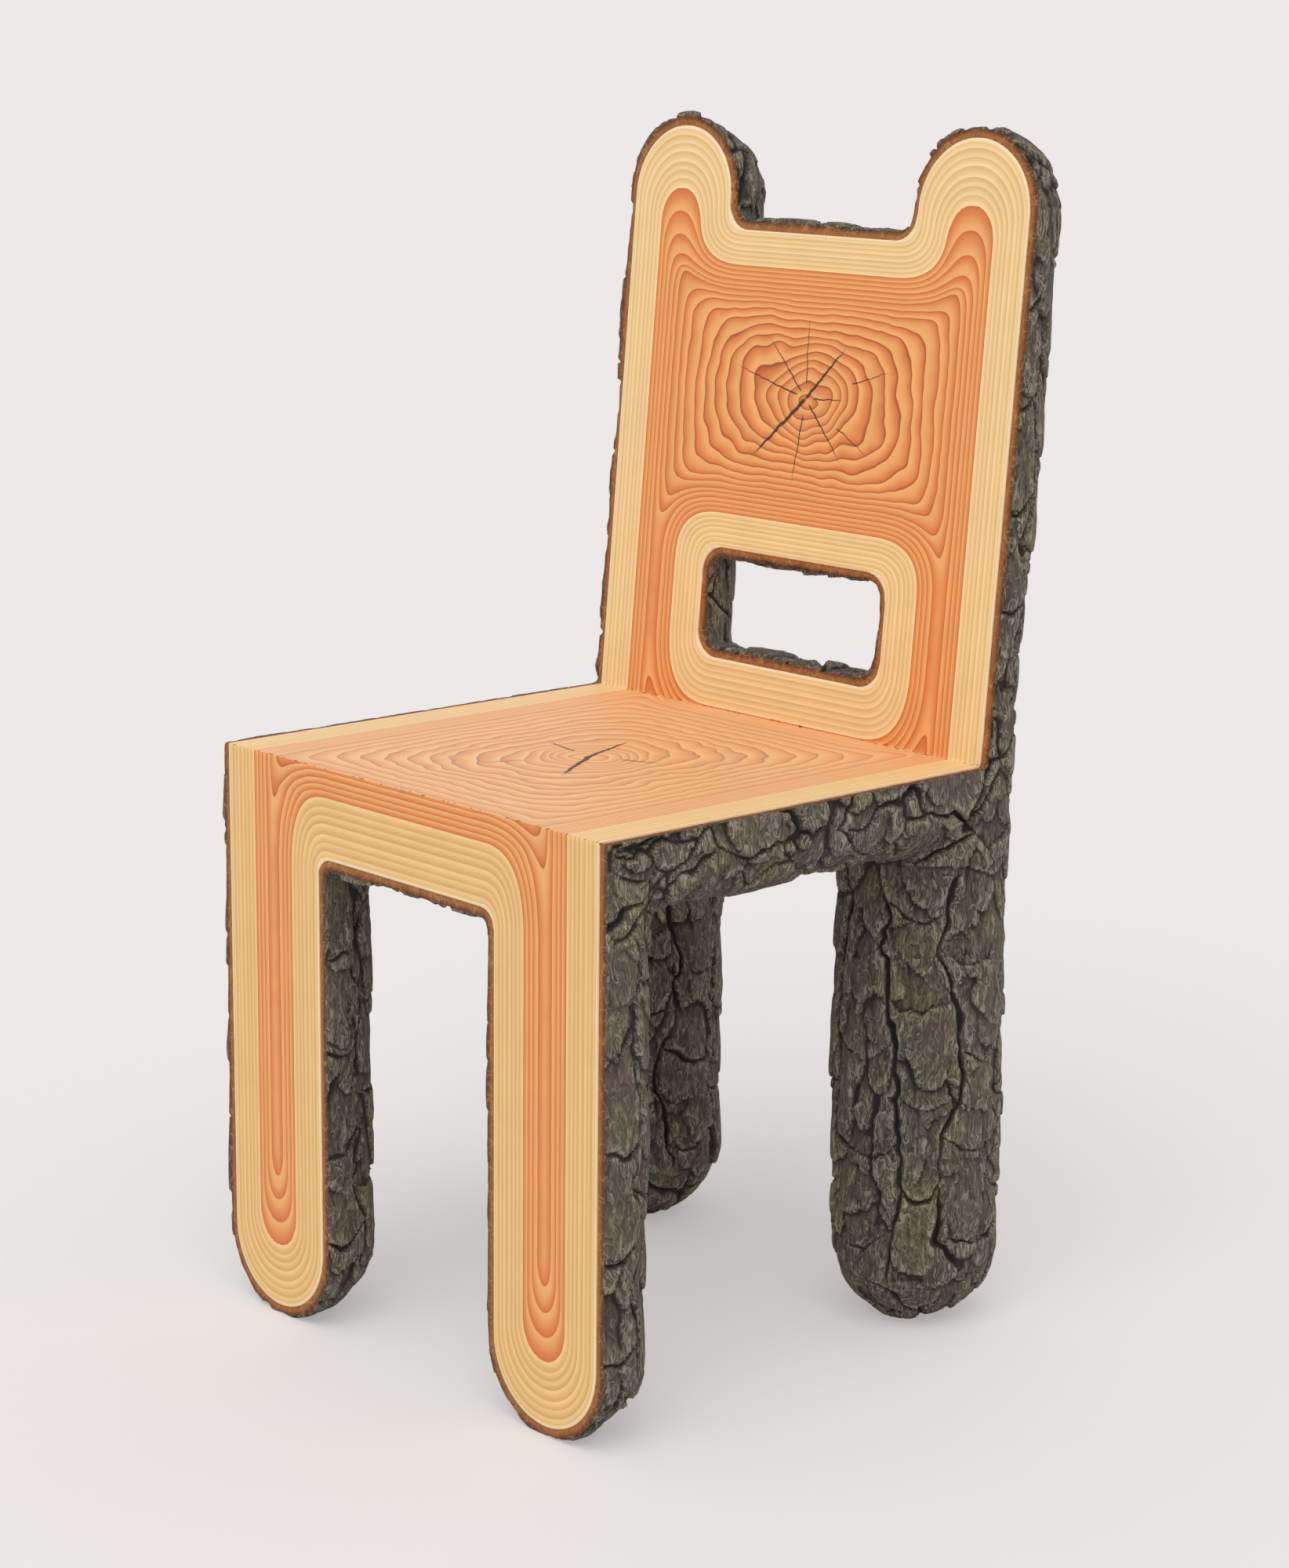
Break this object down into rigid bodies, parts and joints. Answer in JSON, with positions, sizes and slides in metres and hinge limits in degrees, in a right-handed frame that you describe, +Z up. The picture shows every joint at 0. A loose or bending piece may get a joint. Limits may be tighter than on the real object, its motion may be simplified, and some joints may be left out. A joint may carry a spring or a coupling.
{
  "type": "wooden chair",
  "caption": "Rustic side chair shaped from logs: flat bare-wood front, seat and leaning back with a window slot and two rounded ears, bark on every other side.",
  "frame": {"origin": "on the floor, under the middle of the chair's outer box", "axes": "+Z up, the front faces -Y, +X to the right as seen from the front"},
  "size_m": [0.448, 0.485, 0.9233],
  "materials": {
    "face_wood": "satin, ringed grain",
    "core_wood": "sawn",
    "bark": "rough plated bark",
    "dowel_wood": "turned",
    "screw_steel": "plain"
  },
  "bodies": {
    "root": {"back_facing": "face_wood", "back_panel": "core_wood", "back_panel_bark": "bark", "back_panel_dowels": "dowel_wood", "back_post_bark_left": "bark", "back_post_bark_right": "bark", "back_post_dowels": "dowel_wood", "back_post_left": "core_wood", "back_post_right": "core_wood", "corner_block_front_left": "core_wood", "corner_block_front_right": "core_wood", "corner_block_rear_left": "core_wood", "corner_block_rear_right": "core_wood", "corner_block_screws": "screw_steel", "front_facing": "face_wood", "front_leg_bark_left": "bark", "front_leg_bark_right": "bark", "front_leg_left": "core_wood", "front_leg_right": "core_wood", "front_rail": "core_wood", "front_rail_bark": "bark", "front_rail_dowels": "dowel_wood", "lower_back_rail": "core_wood", "lower_back_rail_bark": "bark", "rear_leg_bark_left": "bark", "rear_leg_bark_right": "bark", "rear_leg_left": "core_wood", "rear_leg_right": "core_wood", "rear_rail_dowels": "dowel_wood", "rear_seat_rail": "core_wood", "rear_seat_rail_bark": "bark", "seat_core": "core_wood", "seat_facing": "face_wood", "seat_underside_bark": "bark", "side_rail_bark_left": "bark", "side_rail_bark_right": "bark", "side_rail_dowels": "dowel_wood", "side_rail_left": "core_wood", "side_rail_right": "core_wood", "sill_dowels": "dowel_wood"}
  },
  "joints": []
}
